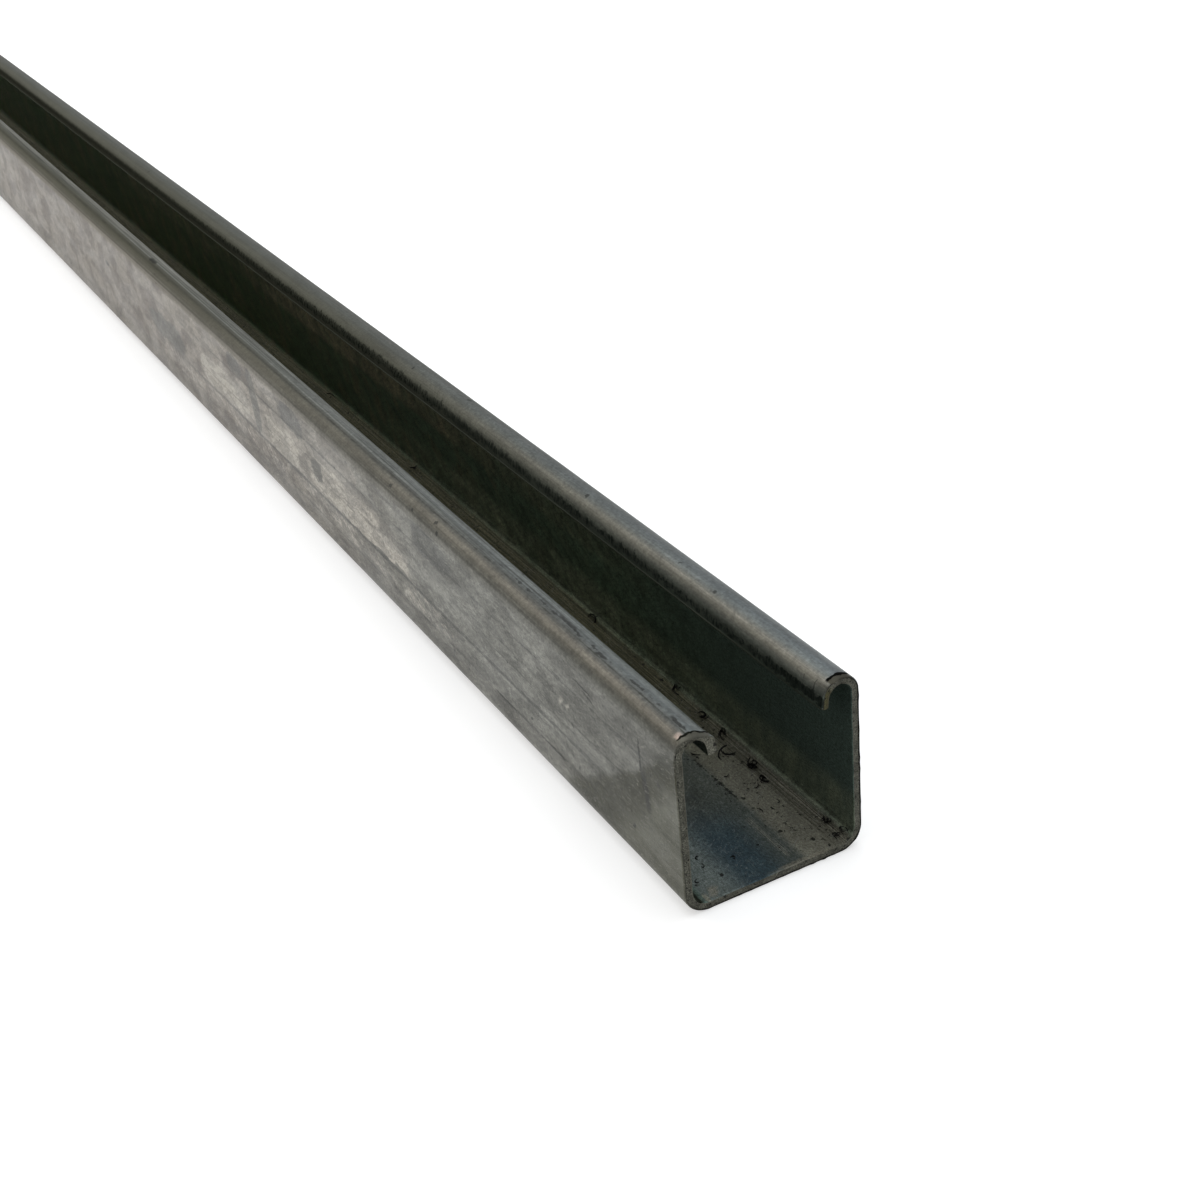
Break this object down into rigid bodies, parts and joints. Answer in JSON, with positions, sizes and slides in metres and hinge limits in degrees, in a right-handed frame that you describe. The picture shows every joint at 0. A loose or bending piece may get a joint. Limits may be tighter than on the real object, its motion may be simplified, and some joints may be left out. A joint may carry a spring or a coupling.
{
  "type": "strut channel",
  "caption": "Lipped steel strut channel rolled as one piece: flat web, two side walls, edges turned back in as lips beside an open mouth.",
  "frame": {"origin": "middle of the web's underside, halfway along the length", "axes": "+Z out of the open mouth, +Y along the stick away from the near sawn end, +X across to the right lip"},
  "size_m": [0.0412, 1.219, 0.0413],
  "materials": {
    "galvanised_steel": "mill galvanised sheet steel, dull, streaked and dirty, bare and burred at the sawn ends"
  },
  "bodies": {
    "root": {"channel": "galvanised_steel"}
  },
  "joints": []
}
